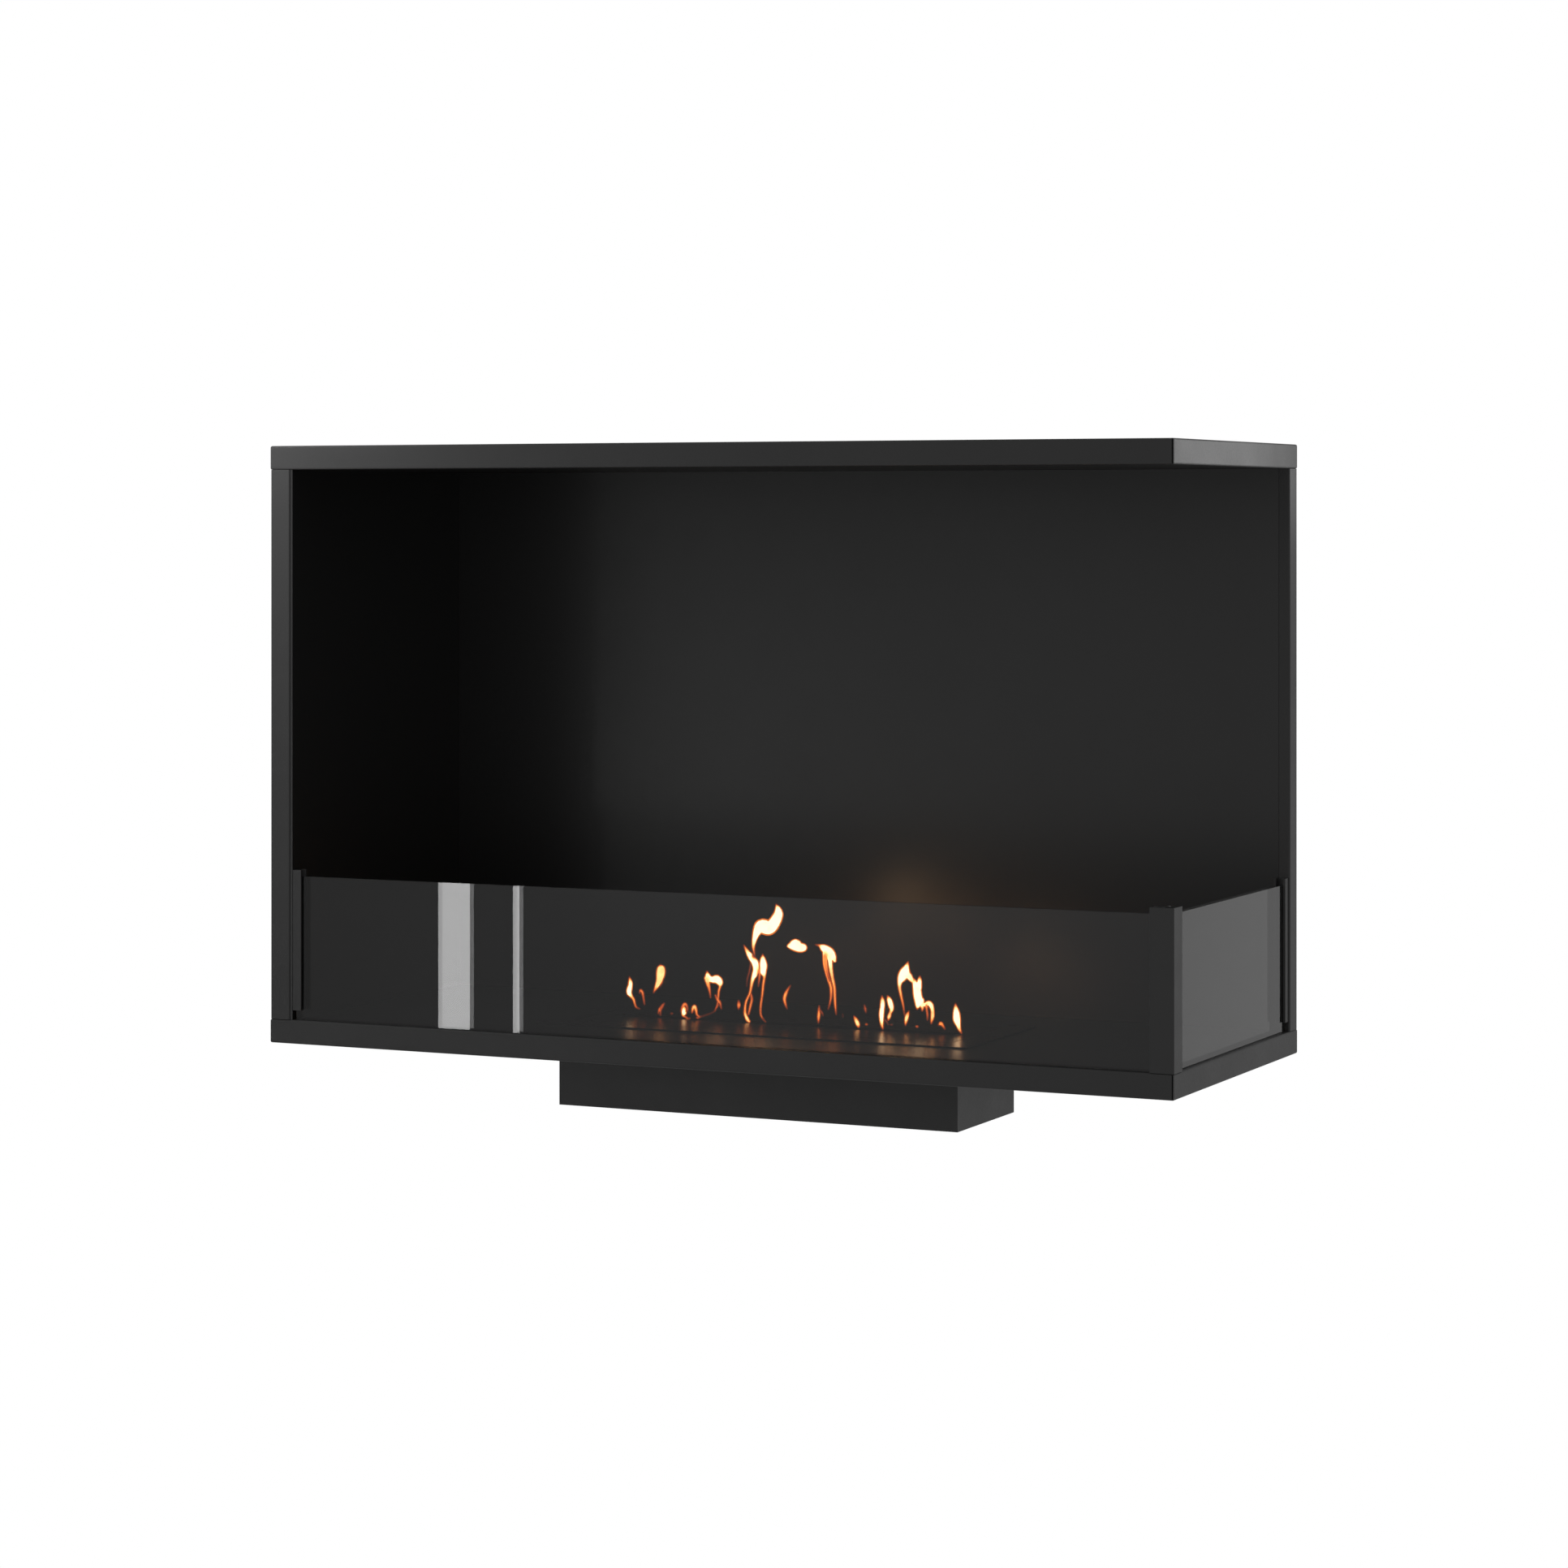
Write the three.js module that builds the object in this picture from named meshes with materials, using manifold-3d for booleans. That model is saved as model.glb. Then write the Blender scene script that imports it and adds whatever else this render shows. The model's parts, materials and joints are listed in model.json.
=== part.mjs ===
// Built-in corner electric fireplace: a double-walled sheet-steel casing, open at the front and at
// the right, with two low glass guards and a water-vapour flame cassette hung through its floor.
// Millimetres, +Z up. Inside the casing group X runs right along the front from the outer left
// corner, Y runs back from the front face, and Z runs up from the underside of the casing.

import * as THREE from 'three';
import { mergeVertices } from 'three/addons/utils/BufferGeometryUtils.js';
import Module from 'manifold-3d';

// ---- driving dimensions -------------------------------------------------------------------------

const WIDTH = 1200; // casing, along the front
const DEPTH = 450; // casing, front to back
const HEIGHT = 750; // casing, without the cassette below it
const SHEET = 1.5; // steel sheet of every panel
const BEND = 2.5; // outer radius of a fold
const SEAM = 1.2; // open seam where two folded flanges meet at the front right corner
const LIP = 14; // return lip behind the visible flanges
const TRAY_EDGE = 30; // height of the folded edge of the base and of the top
const LEFT_EDGE = 28; // width of the left flange, seen from the front
const REAR_EDGE = 28.3; // width of the rear flange, seen from the right
const LEFT_HEM = 3.2; // folded hem on the front edge of the left liner
const FIT = 0.3; // clearance where one piece seats inside another

const GLASS_HEIGHT = 180;
const GLASS_THICKNESS = 8;
const GLASS_PLAY = 0.5; // free gap on each face of a pane in its groove
const CHANNEL_WALL = 3; // wall of the glass channels and of the corner post
const CHANNEL_SETBACK = 2; // channel face behind the casing face
const CHANNEL_FLANGE = 12;
const CHANNEL_LIFT = 12; // channel's lower end above the floor
const POST_TOP = 188; // top of the channels and of the post above the floor
const POST_FRONT_LEG = 29.5;
const POST_SIDE_LEG = 28.3;

const CASSETTE_LENGTH = 538;
const CASSETTE_WIDTH = 180;
const CASSETTE_DROP = 72.5; // how far the cassette hangs below the casing
const CUTOUT_GAP = 1; // around the cassette, in the floor and in the base
const CASSETTE_RIM = 18; // inward ledge that carries the top plate
const COLLAR_MARGIN = 21; // burner collar beyond the cassette wall
const COLLAR_INSET = 13; // burner collar inside the cassette wall
const COLLAR_THICKNESS = 2;
const PLATE_GAP = 1; // joint between the top plate and the collar
const SLOT_LENGTH = 460;
const SLOT_WIDTH = 24;

const BASIN_LENGTH = 474;
const BASIN_WIDTH = 84;
const BASIN_HEIGHT = 34;
const MOULDED_WALL = 2; // wall of the plastic pieces
const LIFT_OFF_FLOOR = 4; // inner pieces stand on pads this high
const TRANSDUCER_COUNT = 4;
const TRANSDUCER_RADIUS = 13;
const TRANSDUCER_HEIGHT = 8;
const HOOD_NECK = 20; // inner width of the hood at the slot
const LED_LENGTH = 430;
const LED_WIDTH = 7;
const LED_THICKNESS = 1.6;
const TANK_LENGTH = 330;
const TANK_HEIGHT = 78;
const TANK_TO_WALL = 2;
const TANK_TO_BASIN = 6.5;
const FILLER_RADIUS = 9;
const CAP_OVERHANG = 2; // filler cap beyond its neck
const FILLER_HEIGHT = 8;
const VALVE_LENGTH = 28;
const FLOAT_RADIUS = 8;
const FLOAT_HEIGHT = 9;
const FLOAT_STEM_RADIUS = 2;
const FAN_SIZE = 50;
const FAN_DEPTH = 15;
const FAN_BORE = 23;
const FAN_HUB = 10;
const FAN_BLADES = 7;
const BLADE_ANGLE = 35; // degrees
const BOARD_LENGTH = 110;
const BOARD_HEIGHT = 46;
const SUPPLY_LENGTH = 120;
const SWITCH_WIDTH = 14;
const SWITCH_HEIGHT = 20;
const INLET_WIDTH = 28;
const INLET_HEIGHT = 20;
const RAIL_WIDTH = 40; // stiffening rails in the cavities of the casing
const STUD_RADIUS = 2; // studs under the burner collar
const NUT_RADIUS = 3.8;
const ROCKER_TILT = 7; // degrees either way from level
const ROUND_STEPS = 28;
const BEND_STEPS = 5;

// ---- places worked out from them ----------------------------------------------------------------

const FLOOR = TRAY_EDGE;
const CEILING = HEIGHT - TRAY_EDGE;
const LINER_LEFT = LEFT_EDGE + LEFT_HEM; // inner face of the left liner
const LINER_BACK = DEPTH - REAR_EDGE; // inner face of the back liner
const GLASS_FACE = CHANNEL_SETBACK + CHANNEL_WALL + GLASS_PLAY;
const GROOVE_BACK = GLASS_FACE + GLASS_THICKNESS + GLASS_PLAY;
const POST_CORE = GROOVE_BACK + CHANNEL_WALL; // square core of the corner post
const cassette = {
  x0: (LINER_LEFT + WIDTH - CASSETTE_LENGTH) / 2,
  x1: (LINER_LEFT + WIDTH + CASSETTE_LENGTH) / 2,
  y0: (LINER_BACK - CASSETTE_WIDTH) / 2,
  y1: (LINER_BACK + CASSETTE_WIDTH) / 2,
  bottom: -CASSETTE_DROP,
};
const CENTRE_X = (cassette.x0 + cassette.x1) / 2;
const CENTRE_Y = (cassette.y0 + cassette.y1) / 2;
const TUB_FLOOR = cassette.bottom + SHEET; // inner bottom of the cassette
const TANK_WIDTH = (CASSETTE_WIDTH - BASIN_WIDTH) / 2 - SHEET - TANK_TO_WALL - TANK_TO_BASIN;

// ---- solids -------------------------------------------------------------------------------------

const wasm = await Module();
wasm.setup();

/** A closed three.js geometry as a solid for joining and cutting. */
function solidOf(geometry) {
  const bare = geometry.clone();
  bare.deleteAttribute('normal');
  bare.deleteAttribute('uv');
  const merged = mergeVertices(bare, 1e-4);
  return new wasm.Manifold(new wasm.Mesh({
    numProp: 3,
    vertProperties: new Float32Array(merged.attributes.position.array),
    triVerts: new Uint32Array(merged.index.array),
  }));
}

/** A solid back as a three.js geometry. */
function geometryOf(solid) {
  const mesh = solid.getMesh();
  const geometry = new THREE.BufferGeometry();
  geometry.setAttribute('position', new THREE.BufferAttribute(mesh.vertProperties, 3));
  geometry.setIndex(new THREE.BufferAttribute(mesh.triVerts, 1));
  geometry.computeVertexNormals();
  return geometry;
}

const cut = (geometry, tools) => geometryOf(
  tools.reduce((solid, tool) => solid.subtract(solidOf(tool)), solidOf(geometry)),
);
const join = (first, others) => geometryOf(
  others.reduce((solid, other) => solid.add(solidOf(other)), solidOf(first)),
);
const common = (a, b) => geometryOf(solidOf(a).intersect(solidOf(b)));

/** A box between two values on each axis. */
function block([x0, x1], [y0, y1], [z0, z1]) {
  const box = new THREE.BoxGeometry(x1 - x0, y1 - y0, z1 - z0);
  return box.translate((x0 + x1) / 2, (y0 + y1) / 2, (z0 + z1) / 2);
}

// Along x the outline is drawn in (y, z), along y in (z, x), and along z in (x, y).
const BASES = {
  x: [new THREE.Vector3(0, 1, 0), new THREE.Vector3(0, 0, 1), new THREE.Vector3(1, 0, 0)],
  y: [new THREE.Vector3(0, 0, 1), new THREE.Vector3(1, 0, 0), new THREE.Vector3(0, 1, 0)],
  z: [new THREE.Vector3(1, 0, 0), new THREE.Vector3(0, 1, 0), new THREE.Vector3(0, 0, 1)],
};

/** An outline extruded along an axis from one value to another. */
function prism(outline, axis, from, to) {
  const geometry = new THREE.ExtrudeGeometry(outline, {
    depth: to - from, bevelEnabled: false, curveSegments: BEND_STEPS,
  });
  geometry.translate(0, 0, from);
  return geometry.applyMatrix4(new THREE.Matrix4().makeBasis(...BASES[axis]));
}

/** A closed outline through corners given as [a, b] or [a, b, radius]. */
function outline(corners) {
  const shape = new THREE.Shape();
  corners.forEach(([a, b, radius = 0], i) => {
    const here = new THREE.Vector2(a, b);
    const before = new THREE.Vector2(...corners[(i + corners.length - 1) % corners.length]);
    const after = new THREE.Vector2(...corners[(i + 1) % corners.length]);
    const start = here.clone().add(before.sub(here).normalize().multiplyScalar(radius));
    const end = here.clone().add(after.sub(here).normalize().multiplyScalar(radius));
    if (i === 0) shape.moveTo(start.x, start.y);
    else shape.lineTo(start.x, start.y);
    if (radius > 0) shape.quadraticCurveTo(here.x, here.y, end.x, end.y);
  });
  shape.closePath();
  return shape;
}

const rectangle = (a0, a1, b0, b1, radius = 0) => outline(
  [[a0, b0, radius], [a1, b0, radius], [a1, b1, radius], [a0, b1, radius]],
);

/** A round bar about an axis through a centre, between two values on that axis. */
function bar(axis, centre, radius, from, to) {
  const geometry = new THREE.CylinderGeometry(radius, radius, to - from, ROUND_STEPS);
  if (axis === 'x') geometry.rotateZ(-Math.PI / 2);
  if (axis === 'z') geometry.rotateX(Math.PI / 2);
  const middle = new THREE.Vector3(...centre);
  middle[axis] = (from + to) / 2;
  return geometry.translate(middle.x, middle.y, middle.z);
}

// ---- finishes -----------------------------------------------------------------------------------

const finish = (color, roughness, metalness = 0, extra = {}) => () => (
  new THREE.MeshStandardMaterial({ color, roughness, metalness, ...extra }));
const powderCoat = finish(0x1c1c1c, 0.55);
const linerCoat = finish(0x161616, 0.6);
const zincSteel = finish(0x8f9296, 0.45, 1);
const blackAnodised = finish(0x202020, 0.45, 0.6);
const burnerSteel = finish(0x1a1a1a, 0.3, 0.8);
const clearGlass = finish(0xd8e0de, 0.03, 0, { transparent: true, opacity: 0.3 });
const blackPlastic = finish(0x151515, 0.6);
const whitePlastic = finish(0xd8d8d4, 0.5);
const frostedPlastic = finish(0xe8e8e2, 0.4, 0, { transparent: true, opacity: 0.7 });
const ceramicDisc = finish(0xc9c4b8, 0.35);
const boardGreen = finish(0x1d4a34, 0.5);

const fireplace = new THREE.Group();
const casing = new THREE.Group();
casing.position.set(-WIDTH / 2, -DEPTH / 2, CASSETTE_DROP);
fireplace.add(casing);

function add(name, geometry, material, parent = casing) {
  const mesh = new THREE.Mesh(geometry, material());
  mesh.name = name;
  parent.add(mesh);
  return mesh;
}

// ---- casing -------------------------------------------------------------------------------------

/** A folded tray between two heights: four edges, and a return lip along the front and the right. */
function foldedTray(z0, z1, lipAtTop) {
  const shell = common(
    prism(rectangle(0, DEPTH, z0, z1, BEND), 'x', 0, WIDTH),
    prism(rectangle(z0, z1, 0, WIDTH, BEND), 'y', 0, DEPTH),
  );
  const lip = lipAtTop ? [z1 - SHEET, z1 + 1] : [z0 - 1, z0 + SHEET];
  return cut(shell, [
    block([SHEET, WIDTH - SHEET], [SHEET, DEPTH - SHEET], [z0 + SHEET, z1 - SHEET]),
    block([SHEET, WIDTH - LIP], [LIP, DEPTH - SHEET], lip),
    block([WIDTH - SHEET - SEAM, WIDTH - SHEET], [-1, SHEET], [z0 - 1, z1 + 1]),
  ]);
}

const cassetteHole = (gap, z0, z1) => block(
  [cassette.x0 - gap, cassette.x1 + gap], [cassette.y0 - gap, cassette.y1 + gap], [z0, z1],
);

function buildPanels() {
  const base = cut(foldedTray(0, FLOOR, true), [cassetteHole(CUTOUT_GAP, -1, 2 * SHEET)]);
  add('base_panel', base, powderCoat);
  add('top_panel', foldedTray(CEILING, HEIGHT, false), powderCoat);

  const left = outline([
    [0, 0, BEND], [LEFT_EDGE, 0, BEND], [LEFT_EDGE, LIP], [LEFT_EDGE - SHEET, LIP],
    [LEFT_EDGE - SHEET, SHEET], [SHEET, SHEET], [SHEET, DEPTH - SHEET], [0, DEPTH - SHEET],
  ]);
  add('left_panel', prism(left, 'z', FLOOR, CEILING), powderCoat);

  const back = outline([
    [0, DEPTH - SHEET], [WIDTH - SHEET, DEPTH - SHEET], [WIDTH - SHEET, LINER_BACK + SHEET],
    [WIDTH - LIP, LINER_BACK + SHEET], [WIDTH - LIP, LINER_BACK], [WIDTH, LINER_BACK, BEND],
    [WIDTH, DEPTH, BEND], [0, DEPTH],
  ]);
  add('back_panel', prism(back, 'z', FLOOR, CEILING), powderCoat);
}

function buildLiners() {
  const inTray = [[SHEET + FIT, WIDTH - LIP - FIT], [LIP + FIT, DEPTH - SHEET - FIT]];
  const floor = block(...inTray, [FLOOR - SHEET, FLOOR]);
  const hole = cassetteHole(CUTOUT_GAP, FLOOR - 2 * SHEET, FLOOR + 1);
  add('floor_liner', cut(floor, [hole]), linerCoat);
  add('ceiling_liner', block(...inTray, [CEILING, CEILING + SHEET]), linerCoat);

  const left = outline([
    [LEFT_EDGE, SHEET], [LINER_LEFT, SHEET], [LINER_LEFT, LINER_BACK],
    [LINER_LEFT - SHEET, LINER_BACK], [LINER_LEFT - SHEET, LIP], [LEFT_EDGE, LIP],
  ]);
  add('left_liner', prism(left, 'z', FLOOR, CEILING), linerCoat);
  add('back_liner', block(
    [LINER_LEFT - SHEET, WIDTH - LIP - FIT], [LINER_BACK, LINER_BACK + SHEET], [FLOOR, CEILING],
  ), linerCoat);
}

/** A U-shaped rail that fills a cavity between two heights or depths, given as its outline. */
function railOutline(middle, near, far) {
  const [a0, a1] = [middle - RAIL_WIDTH / 2, middle + RAIL_WIDTH / 2];
  return [
    [a0, near], [a1, near], [a1, far], [a1 - SHEET, far],
    [a1 - SHEET, near + SHEET], [a0 + SHEET, near + SHEET], [a0 + SHEET, far], [a0, far],
  ];
}

function buildRails() {
  const swap = (corners) => outline(corners.map(([a, b]) => [b, a]).reverse());
  const along = [LIP + FIT, DEPTH - SHEET - FIT];
  const besideCassette = { left: cassette.x0 / 2, right: (cassette.x1 + WIDTH) / 2 };
  for (const [side, x] of Object.entries(besideCassette)) {
    add(`floor_rail_${side}`,
      prism(swap(railOutline(x, SHEET, FLOOR - SHEET)), 'y', ...along), zincSteel);
  }
  for (const [side, share] of Object.entries({ left: 0.25, right: 0.75 })) {
    const x = LINER_LEFT + (WIDTH - LINER_LEFT) * share;
    add(`ceiling_rail_${side}`,
      prism(swap(railOutline(x, CEILING + SHEET, HEIGHT - SHEET)), 'y', ...along), zincSteel);
    add(`back_rail_${side}`,
      prism(outline(railOutline(x, LINER_BACK + SHEET, DEPTH - SHEET)), 'z', FLOOR, CEILING),
      zincSteel);
  }
  const leftCavity = railOutline(LINER_BACK / 2, SHEET, LINER_LEFT - SHEET);
  add('left_rail', prism(swap(leftCavity), 'z', FLOOR, CEILING), zincSteel);
}

// ---- glass guards -------------------------------------------------------------------------------

/** Channel outline with its web on a = 0 and its mouth towards +a; b runs in from the casing face. */
function channelCorners() {
  const near = CHANNEL_SETBACK;
  const far = GROOVE_BACK + CHANNEL_WALL;
  return [
    [0, near], [CHANNEL_FLANGE, near], [CHANNEL_FLANGE, near + CHANNEL_WALL],
    [CHANNEL_WALL, near + CHANNEL_WALL], [CHANNEL_WALL, GROOVE_BACK],
    [CHANNEL_FLANGE, GROOVE_BACK], [CHANNEL_FLANGE, far], [0, far],
  ];
}

function buildGlass() {
  const glassFrom = LINER_LEFT + CHANNEL_WALL + GLASS_PLAY;
  const glassTo = WIDTH - POST_CORE - GLASS_PLAY;
  const panes = [FLOOR, FLOOR + GLASS_HEIGHT];
  add('front_glass', block(
    [glassFrom, glassTo], [GLASS_FACE, GLASS_FACE + GLASS_THICKNESS], panes,
  ), clearGlass);
  add('side_glass', block(
    [WIDTH - GLASS_FACE - GLASS_THICKNESS, WIDTH - GLASS_FACE],
    [POST_CORE + GLASS_PLAY, LINER_BACK - CHANNEL_WALL - GLASS_PLAY], panes,
  ), clearGlass);

  const channelZ = [FLOOR + CHANNEL_LIFT, FLOOR + POST_TOP];
  const left = channelCorners().map(([a, b]) => [LINER_LEFT + a, b]);
  add('left_glass_channel', prism(outline(left), 'z', ...channelZ), blackAnodised);
  const rear = channelCorners().map(([a, b]) => [WIDTH - b, LINER_BACK - a]);
  add('rear_glass_channel', prism(outline(rear), 'z', ...channelZ), blackAnodised);

  // The post is a square core with two grooves, one for each pane.
  const w = CHANNEL_WALL;
  const corners = [
    [0, 0, 1], [POST_FRONT_LEG, 0], [POST_FRONT_LEG, w], [POST_CORE, w],
    [POST_CORE, GROOVE_BACK], [POST_FRONT_LEG, GROOVE_BACK], [POST_FRONT_LEG, POST_CORE],
    [POST_CORE, POST_CORE], [POST_CORE, POST_SIDE_LEG], [GROOVE_BACK, POST_SIDE_LEG],
    [GROOVE_BACK, POST_CORE], [w, POST_CORE], [w, POST_SIDE_LEG], [0, POST_SIDE_LEG],
  ];
  const section = outline(corners.map(([a, b, r]) => [WIDTH - a, b, r]).reverse());
  const post = prism(section, 'z', FLOOR, FLOOR + POST_TOP);
  const core = block(
    [WIDTH - POST_CORE + w, WIDTH - w], [w, POST_CORE - w], [FLOOR - 1, FLOOR + POST_TOP + 1],
  );
  add('corner_glass_post', cut(post, [core]), blackAnodised);
}

// ---- flame cassette -----------------------------------------------------------------------------

const REAR_ROW = cassette.y1 - SHEET; // inner face of the cassette's rear wall
const FAN_X = [cassette.x0 + 60, cassette.x1 - 60];
const FAN_Z = TUB_FLOOR + LIFT_OFF_FLOOR + FAN_SIZE / 2;
const BACK_FITTINGS_Z = cassette.bottom + CASSETTE_DROP / 2;
const INLET_X = CENTRE_X - 150;
const SWITCH_X = INLET_X + 50;
const STUD_PLACES = [cassette.x0 + COLLAR_INSET / 2, cassette.x1 - COLLAR_INSET / 2].flatMap(
  (x) => [cassette.y0 + COLLAR_INSET / 2, cassette.y1 - COLLAR_INSET / 2].map((y) => [x, y]),
);

function buildHousing() {
  const tub = block([cassette.x0, cassette.x1], [cassette.y0, cassette.y1], [cassette.bottom, FLOOR]);
  const inside = block(
    [cassette.x0 + SHEET, cassette.x1 - SHEET], [cassette.y0 + SHEET, cassette.y1 - SHEET],
    [TUB_FLOOR, FLOOR - SHEET],
  );
  const mouth = block(
    [cassette.x0 + CASSETTE_RIM, cassette.x1 - CASSETTE_RIM],
    [cassette.y0 + CASSETTE_RIM, cassette.y1 - CASSETTE_RIM], [FLOOR - 2 * SHEET, FLOOR + 1],
  );
  const throughBack = [cassette.y1 - 2 * SHEET, cassette.y1 + 1];
  const airSlots = FAN_X.flatMap((x) => [-15, -5, 5, 15].map((offset) => block(
    [x + offset - 2, x + offset + 2], throughBack, [FAN_Z - 15, FAN_Z + 15],
  )));
  const inletHole = block(
    [INLET_X - INLET_WIDTH / 2, INLET_X + INLET_WIDTH / 2], throughBack,
    [BACK_FITTINGS_Z - INLET_HEIGHT / 2, BACK_FITTINGS_Z + INLET_HEIGHT / 2],
  );
  const switchHole = block(
    [SWITCH_X - SWITCH_WIDTH / 2 - MOULDED_WALL, SWITCH_X + SWITCH_WIDTH / 2 + MOULDED_WALL],
    throughBack,
    [BACK_FITTINGS_Z - SWITCH_HEIGHT / 2 - MOULDED_WALL,
      BACK_FITTINGS_Z + SWITCH_HEIGHT / 2 + MOULDED_WALL],
  );
  const studHoles = STUD_PLACES.map(([x, y]) => bar(
    'z', [x, y, 0], STUD_RADIUS + FIT, FLOOR - 2 * SHEET, FLOOR + 1,
  ));
  const holes = [inside, mouth, ...airSlots, inletHole, switchHole, ...studHoles];
  add('cassette_housing', cut(tub, holes), powderCoat);
}

function buildBurnerTop() {
  const ring = [FLOOR, FLOOR + COLLAR_THICKNESS];
  const m = COLLAR_MARGIN;
  const i = COLLAR_INSET;
  const collar = block(
    [cassette.x0 - m, cassette.x1 + m], [cassette.y0 - m, cassette.y1 + m], ring,
  );
  const window = block(
    [cassette.x0 + i, cassette.x1 - i], [cassette.y0 + i, cassette.y1 - i],
    [FLOOR - 1, FLOOR + COLLAR_THICKNESS + 1],
  );
  const studs = STUD_PLACES.map(([x, y]) => bar(
    'z', [x, y, 0], STUD_RADIUS, FLOOR - 4 * SHEET, FLOOR + COLLAR_THICKNESS / 2,
  ));
  add('burner_collar', join(cut(collar, [window]), studs), burnerSteel);
  STUD_PLACES.forEach(([x, y], n) => {
    const span = [FLOOR - 3 * SHEET, FLOOR - SHEET];
    const hexagon = new THREE.CylinderGeometry(NUT_RADIUS, NUT_RADIUS, SHEET * 2, 6)
      .rotateX(Math.PI / 2).translate(x, y, (span[0] + span[1]) / 2);
    const thread = bar('z', [x, y, 0], STUD_RADIUS + FIT / 2, span[0] - 1, span[1] + 1);
    add(`collar_nut_${n + 1}`, cut(hexagon, [thread]), zincSteel);
  });

  const p = COLLAR_INSET + PLATE_GAP;
  const plate = block(
    [cassette.x0 + p, cassette.x1 - p], [cassette.y0 + p, cassette.y1 - p], ring,
  );
  const slot = block(
    [CENTRE_X - SLOT_LENGTH / 2, CENTRE_X + SLOT_LENGTH / 2],
    [CENTRE_Y - SLOT_WIDTH / 2, CENTRE_Y + SLOT_WIDTH / 2], [FLOOR - 1, FLOOR + COLLAR_THICKNESS + 1],
  );
  add('burner_top_plate', cut(plate, [slot]), burnerSteel);
}

function buildMistMaker() {
  const z0 = TUB_FLOOR + LIFT_OFF_FLOOR;
  const z1 = z0 + BASIN_HEIGHT;
  const half = { x: BASIN_LENGTH / 2, y: BASIN_WIDTH / 2 };
  const wall = MOULDED_WALL;
  const around = (dx, dy, z) => block(
    [CENTRE_X - dx, CENTRE_X + dx], [CENTRE_Y - dy, CENTRE_Y + dy], z,
  );
  const basin = cut(around(half.x, half.y, [z0, z1]), [
    around(half.x - wall, half.y - wall, [z0 + wall, z1 + 1]),
  ]);
  const feet = [-1, 1].map((side) => block(
    [CENTRE_X + side * half.x * 0.8 - 10, CENTRE_X + side * half.x * 0.8 + 10],
    [CENTRE_Y - half.y / 2, CENTRE_Y + half.y / 2], [TUB_FLOOR, z0 + wall / 2],
  ));
  add('mist_basin', join(basin, feet), blackPlastic);

  const pitch = SLOT_LENGTH / TRANSDUCER_COUNT;
  for (let n = 0; n < TRANSDUCER_COUNT; n += 1) {
    const x = CENTRE_X + (n - (TRANSDUCER_COUNT - 1) / 2) * pitch;
    const body = bar('z', [x, CENTRE_Y, 0], TRANSDUCER_RADIUS, z0 + wall, z0 + wall + TRANSDUCER_HEIGHT);
    const well = bar('z', [x, CENTRE_Y, 0], TRANSDUCER_RADIUS * 0.6,
      z0 + wall + TRANSDUCER_HEIGHT / 2, z0 + wall + TRANSDUCER_HEIGHT + 1);
    add(`mist_transducer_${n + 1}`, cut(body, [well]), ceramicDisc);
  }

  // The hood narrows from the basin's rim to the slot and is open at both.
  const top = FLOOR - FIT;
  const slope = (offset, low, high) => outline([
    [CENTRE_Y - half.y + offset, low], [CENTRE_Y + half.y - offset, low],
    [CENTRE_Y + HOOD_NECK / 2 + wall - offset, high], [CENTRE_Y - HOOD_NECK / 2 - wall + offset, high],
  ]);
  const hood = cut(prism(slope(0, z1, top), 'x', CENTRE_X - half.x, CENTRE_X + half.x), [
    prism(slope(wall * 1.2, z1 - 0.1, top + 0.1), 'x', CENTRE_X - half.x + wall, CENTRE_X + half.x - wall),
  ]);
  add('mist_hood', hood, blackPlastic);

  const stemX = CENTRE_X + half.x - 14;
  const floatLow = z0 + wall + 6;
  const stem = join(
    bar('z', [stemX, CENTRE_Y, 0], FLOAT_STEM_RADIUS, z0 + wall, z1 - 4),
    [bar('z', [stemX, CENTRE_Y, 0], FLOAT_RADIUS / 2, z0 + wall, z0 + wall + 3)],
  );
  add('float_stem', stem, whitePlastic);
  add('level_float', cut(
    bar('z', [stemX, CENTRE_Y, 0], FLOAT_RADIUS, floatLow, floatLow + FLOAT_HEIGHT),
    [bar('z', [stemX, CENTRE_Y, 0], FLOAT_STEM_RADIUS + FIT, floatLow - 1, floatLow + FLOAT_HEIGHT + 1)],
  ), whitePlastic);
}

/** A light bar and its lens lie on each sloping flank of the hood. */
function buildLights() {
  const z1 = TUB_FLOOR + LIFT_OFF_FLOOR + BASIN_HEIGHT;
  const run = (BASIN_WIDTH - HOOD_NECK) / 2 - MOULDED_WALL;
  const rise = FLOOR - FIT - z1;
  const tilt = Math.atan2(rise, run);
  const middleY = BASIN_WIDTH / 2 - run / 2;
  for (const [side, sign] of Object.entries({ front: -1, rear: 1 })) {
    const flank = new THREE.Group();
    flank.position.set(CENTRE_X, CENTRE_Y + sign * middleY, z1 + rise / 2);
    flank.rotation.x = sign > 0 ? -tilt : tilt;
    casing.add(flank);
    const strip = (thickness, lift) => new THREE.BoxGeometry(LED_LENGTH, LED_WIDTH, thickness)
      .translate(0, 0, lift + thickness / 2);
    add(`led_bar_${side}`, strip(LED_THICKNESS, FIT), boardGreen, flank);
    add(`led_lens_${side}`, strip(LED_THICKNESS, 2 * FIT + LED_THICKNESS), frostedPlastic, flank);
  }
}

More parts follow.
